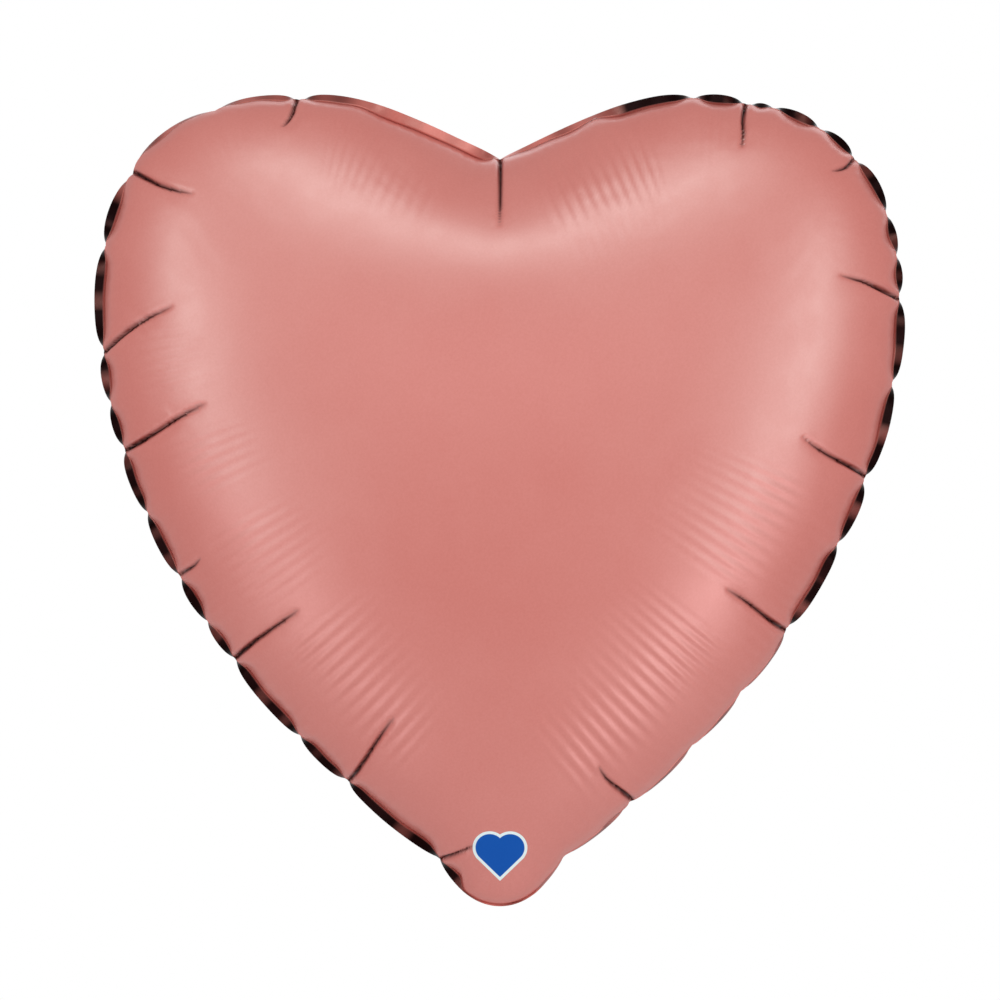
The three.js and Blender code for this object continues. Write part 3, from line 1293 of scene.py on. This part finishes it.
@dataclass(frozen=True)
class FoilFinish:
    """Satin metallised film in a rose tint.

    Attributes:
        name: the material's name.
        light: the paler tint of its soft mottling.
        deep: the deeper tint.
        shadow: the near black that is painted where the mesh's shade attribute says: painted shade in the
            creases, a painted dark reflection on the weld margin.
        metallic: how much it reflects as a metal does.
        ior: index of refraction of its clear lacquer.
        roughness: mean roughness.
        grain: height of its fine grain.
        mark: the print on it, if any.
    """

    name: str
    light: tuple[float, float, float] = (0.835, 0.199, 0.164)
    deep: tuple[float, float, float] = (0.785, 0.160, 0.128)
    shadow: tuple[float, float, float] = (0.035, 0.004, 0.003)
    metallic: float = 0.18
    ior: float = 2.0
    roughness: float = 0.40
    grain: float = 0.05
    mark: HeartPrint | None = None

    def build(self) -> bpy.types.Material:
        """Makes the material."""
        material, bench, shader = new_material(self.name)
        shader.inputs["IOR"].default_value = self.ior
        place = bench.place()
        cloud = bench.noise(place, 9.0, 3.0, 0.55)
        speck = bench.noise(place, 900.0, 2.0, 0.6)
        fine = bench.noise(place, 2600.0, 2.0, 0.6)
        blotch = bench.noise(place, 70.0, 4.0, 0.6)
        clouds = bench.spread(cloud, 0.35, 0.65, 0.0, 0.6)
        tone = bench.math("ADD", clouds, bench.spread(speck, 0.3, 0.7, -0.1, 0.5))
        colour = bench.blend(bench.math("MINIMUM", tone, 1.0), self.deep, self.light)
        rough = bench.math("ADD", bench.spread(blotch, 0.3, 0.7, -0.03, 0.03), self.roughness)
        # Painted shade and painted reflection: the shade attribute turns the colour near black in the creases
        # and on dark stretches of the weld margin, and turns it fully metallic there so that it stays dark.
        shade = bench.add("ShaderNodeAttribute", attribute_name="shade").outputs["Fac"]
        colour = bench.blend(shade, colour, self.shadow)
        metal = bench.math("MAXIMUM", shade, self.metallic)
        if self.mark:
            axes = bench.add("ShaderNodeSeparateXYZ")
            bench.link(place, axes.inputs[0])
            x, z = axes.outputs["X"], axes.outputs["Z"]
            border = self.mark.mask(bench, x, z, self.mark.border)
            inside = self.mark.mask(bench, x, z, 0.0)
            colour = bench.blend(border, colour, self.mark.border_ink)
            colour = bench.blend(inside, colour, self.mark.ink)
            metal = bench.math("SUBTRACT", metal, bench.math("MULTIPLY", border, self.metallic))
            metal = bench.math("MAXIMUM", metal, bench.math("MULTIPLY", inside, self.mark.metallic))
        height = bench.math("ADD", fine, bench.math("MULTIPLY", speck, 0.6))
        normal = bench.bump(height, self.grain, 0.3 * MM)
        sockets = (("Metallic", metal), ("Base Color", colour), ("Roughness", rough), ("Normal", normal))
        for key, socket in sockets:
            bench.link(socket, shader.inputs[key])
        return material


@dataclass(frozen=True)
class ValveFinish:
    """Milky clear film, clinging in places.

    Attributes:
        name: the material's name.
        tint: its colour.
        roughness: mean roughness.
        clear: how much light it lets through.
        ior: index of refraction of the film.
        grain: height of its fine grain.
    """

    name: str
    tint: tuple[float, float, float] = (0.82, 0.83, 0.84)
    roughness: float = 0.3
    clear: float = 0.55
    ior: float = 1.48
    grain: float = 0.08

    def build(self) -> bpy.types.Material:
        """Makes the material."""
        material, bench, shader = new_material(self.name)
        shader.inputs["Transmission Weight"].default_value = self.clear
        shader.inputs["IOR"].default_value = self.ior
        place = bench.place()
        cling = bench.noise(place, 160.0, 3.0)
        grain = bench.noise(place, 2200.0, 2.0)
        warm = tuple(0.94 * c for c in self.tint)
        colour = bench.blend(bench.spread(cling, 0.4, 0.6, 0.0, 1.0), self.tint, warm)
        rough = bench.spread(cling, 0.3, 0.7, self.roughness - 0.08, self.roughness + 0.12)
        normal = bench.bump(grain, self.grain, 0.2 * MM)
        for key, socket in (("Base Color", colour), ("Roughness", rough), ("Normal", normal)):
            bench.link(socket, shader.inputs[key])
        return material


# ---------------------------------------------------------------------------------------------------
# The studio
# ---------------------------------------------------------------------------------------------------


# The two tints of the studio's light: the main softboxes are cool, the fills nearly neutral.
COOL = (0.46, 0.98, 1.0)
SOFT = (0.78, 0.96, 1.0)


@dataclass(frozen=True)
class Softbox:
    """A soft studio light that faces a point: its name, place, size, power in watts and colour."""

    name: str
    place: tuple[float, float, float]
    size: tuple[float, float]
    power: float
    colour: tuple[float, float, float]

    def build(self, target: Vector) -> None:
        """Hangs the light, facing the target."""
        light = bpy.data.lights.new(self.name, "AREA")
        light.shape = "RECTANGLE"
        light.size, light.size_y = self.size
        light.energy = self.power
        light.color = self.colour
        obj = bpy.data.objects.new(self.name, light)
        obj.location = self.place
        obj.rotation_euler = (target - Vector(self.place)).to_track_quat("-Z", "Y").to_euler()
        bpy.context.scene.collection.objects.link(obj)


SOFTBOXES = (
    Softbox("left_softbox", (-1.22, -0.95, 0.42), (0.36, 1.3), 7.0, COOL),
    Softbox("right_softbox", (1.22, -0.95, 0.38), (0.36, 1.3), 7.4, COOL),
    Softbox("top_softbox", (0.0, -0.90, 1.40), (1.3, 0.32), 7.4, COOL),
    Softbox("low_left_softbox", (-0.92, -0.70, -0.45), (0.35, 0.6), 1.4, SOFT),
    Softbox("low_right_softbox", (0.92, -0.70, -0.45), (0.35, 0.6), 2.3, SOFT),
    Softbox("front_fill", (0.0, -2.9, 0.95), (2.4, 1.0), 6.0, SOFT),
    Softbox("back_fill", (0.3, 1.9, 1.0), (1.6, 1.2), 7.0, SOFT),
)


@dataclass
class Studio:
    """The camera, the lights and the pale floor.

    Attributes:
        target: what the camera looks at.
        distance: how far in front of it the camera stands.
        field: the width that the camera sees at the target.
        floor_drop: how far below the part the floor lies.
    """

    target: Vector
    distance: float = 2.6
    field: float = 0.4935
    floor_drop: float = 0.62

    def build(self) -> None:
        """Sets up the studio."""
        self._camera()
        for box in SOFTBOXES:
            box.build(self.target)
        self._floor()
        self._surround()
        bpy.context.scene.view_settings.view_transform = "Standard"

    def _camera(self) -> None:
        """Stands the camera straight in front."""
        camera = bpy.data.cameras.new("camera")
        camera.sensor_width = 36.0
        camera.lens = camera.sensor_width * self.distance / self.field
        obj = bpy.data.objects.new("camera", camera)
        obj.location = self.target + Vector((0.0, -self.distance, 0.0))
        obj.rotation_euler = (math.pi / 2, 0.0, 0.0)
        bpy.context.scene.collection.objects.link(obj)
        bpy.context.scene.camera = obj

    def _floor(self) -> None:
        """Lays the floor, a gently uneven pale sheet."""
        half, cells = 2.2, 24
        line = np.linspace(-half, half, cells + 1)
        x, y = (a.ravel() for a in np.meshgrid(line, line))
        points = np.column_stack([x, y, np.full_like(x, -self.floor_drop)])
        floor = new_object("floor", points, grid_faces(cells + 1, cells + 1))
        material, bench, shader = new_material("pale_floor")
        shader.inputs["Roughness"].default_value = 0.8
        shade = bench.blend(bench.noise(bench.place(), 3.0, 3.0), (0.80, 0.80, 0.80), (0.85, 0.85, 0.85))
        bench.link(shade, shader.inputs["Base Color"])
        floor.data.materials.append(material)

    def _surround(self) -> None:
        """Lights the room dimly and evenly, and shows white behind the part."""
        world = bpy.data.worlds.new("surround")
        bpy.context.scene.world = world
        world.use_nodes = True
        bench = NodeBench(world.node_tree)
        room = world.node_tree.nodes["Background"]
        room.inputs["Color"].default_value = (0.47, 0.42, 0.42, 1.0)
        white = bench.add("ShaderNodeBackground")
        white.inputs["Color"].default_value = (1.0, 1.0, 1.0, 1.0)
        white.inputs["Strength"].default_value = 1.0
        mix = bench.add("ShaderNodeMixShader")
        bench.link(bench.add("ShaderNodeLightPath").outputs["Is Camera Ray"], mix.inputs["Fac"])
        bench.link(room.outputs[0], mix.inputs[1])
        bench.link(white.outputs[0], mix.inputs[2])
        bench.link(mix.outputs[0], world.node_tree.nodes["World Output"].inputs["Surface"])


# ---------------------------------------------------------------------------------------------------
# The balloon
# ---------------------------------------------------------------------------------------------------


@dataclass
class Balloon:
    """The filled balloon: two panels, the folded neck's two foils and the valve's two films.

    Attributes:
        rim: the heart's outline.
        rise: height of a panel's fullest place over the plane of the rim.
        middle: the place in X and Z that the panels' rings close round.
        neck: the folded neck.
    """

    rim: HeartRim
    rise: float
    middle: tuple[float, float]
    neck: FoldedNeck

    @classmethod
    def from_part(cls) -> "Balloon":
        """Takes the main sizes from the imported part."""
        low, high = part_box("front_panel")
        neck_low, neck_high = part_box("neck_front_film")
        valve_low, valve_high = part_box("valve_front_film_neck")
        _, inner_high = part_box("valve_front_film_inner")
        face = next(m for m in frame["record"]["mounts"] if m["name"] == "neck_face")
        out = Vector(face["axis"])
        lean = math.atan2(-out.z, out.y)
        rim = HeartRim(width=high[0] - low[0], top=high[2], tip=1 * MM)
        neck = FoldedNeck(
            rim=rim,
            lean=lean,
            width=neck_high[0] - neck_low[0],
            length=neck_high[2] / math.cos(lean),
            valve_width=valve_high[0] - valve_low[0],
            valve_top=inner_high[2],
            valve_end=valve_high[2] / math.cos(lean),
        )
        return cls(rim, -low[1], (0.0, low[2] + 0.58 * (high[2] - low[2])), neck)

    def build(self) -> list[bpy.types.Object]:
        """Makes and dresses every piece.

        Returns:
            The pieces.
        """
        # The weld material's near black is painted: a painted dark reflection on the margin, through the
        # shade attribute.
        dark = (0.012, 0.003, 0.003)
        weld = FoilFinish("rose_foil_weld", shadow=dark, ior=1.3, roughness=0.34, grain=0.12).build()
        printed = FoilFinish("rose_foil_printed", mark=HeartPrint(centre=(0.0, 26 * MM))).build()
        plain = FoilFinish("rose_foil_plain").build()
        milky = ValveFinish("milky_valve_film").build()
        front_valve = ("valve_front_film_inner", "valve_front_film_neck")
        back_valve = ("valve_back_film_inner", "valve_back_film_neck")
        return [
            self._panel("front_foil_panel", Side.FRONT, "front_panel", printed, weld),
            self._panel("back_foil_panel", Side.BACK, "back_panel", plain, weld),
            self._film("neck_outer_foil", Layer.OUTER_FOIL, plain, "neck_front_film"),
            self._film("neck_inner_foil", Layer.INNER_FOIL, plain, "neck_back_film"),
            self._film("valve_outer_film", Layer.OUTER_VALVE, milky, *front_valve),
            self._film("valve_inner_film", Layer.INNER_VALVE, milky, *back_valve),
        ]

    def _panel(
        self, name: str, side: Side, node: str, foil: bpy.types.Material, weld: bpy.types.Material
    ) -> bpy.types.Object:
        """Makes one panel, which stands for a node of the part."""
        panel = FoilPanel(side, self.rim, self.rise, self.middle).build(name)
        if side is Side.BACK:
            out = np.array([0.0, math.cos(self.neck.lean), -math.sin(self.neck.lean)])
            points = FoilPanel.clear_of(points_of(panel.data), out, -1.7 * MM, 20 * MM, 60 * MM)
            put_points(panel.data, points)
        panel.data.materials.append(foil)
        panel.data.materials.append(weld)
        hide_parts(node)
        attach(panel, "root")
        return panel

    def _film(
        self, name: str, layer: Layer, finish: bpy.types.Material, *nodes: str
    ) -> bpy.types.Object:
        """Makes one film of the neck, which stands for nodes of the part."""
        neck = self.neck
        film = neck.film(name, layer)
        film.data.materials.append(finish)
        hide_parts(*nodes)
        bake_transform(film)
        return film


def main() -> None:
    """Builds the balloon and its studio."""
    logging.basicConfig(level=logging.INFO, format="%(name)s: %(message)s", stream=sys.stdout)
    low, high = cad_box
    Studio(Vector((0.0, 0.0, (low[2] + high[2]) / 2))).build()
    for piece in Balloon.from_part().build():
        log.info("%s: %d faces", piece.name, len(piece.data.polygons))


if __name__ == "__main__":
    main()
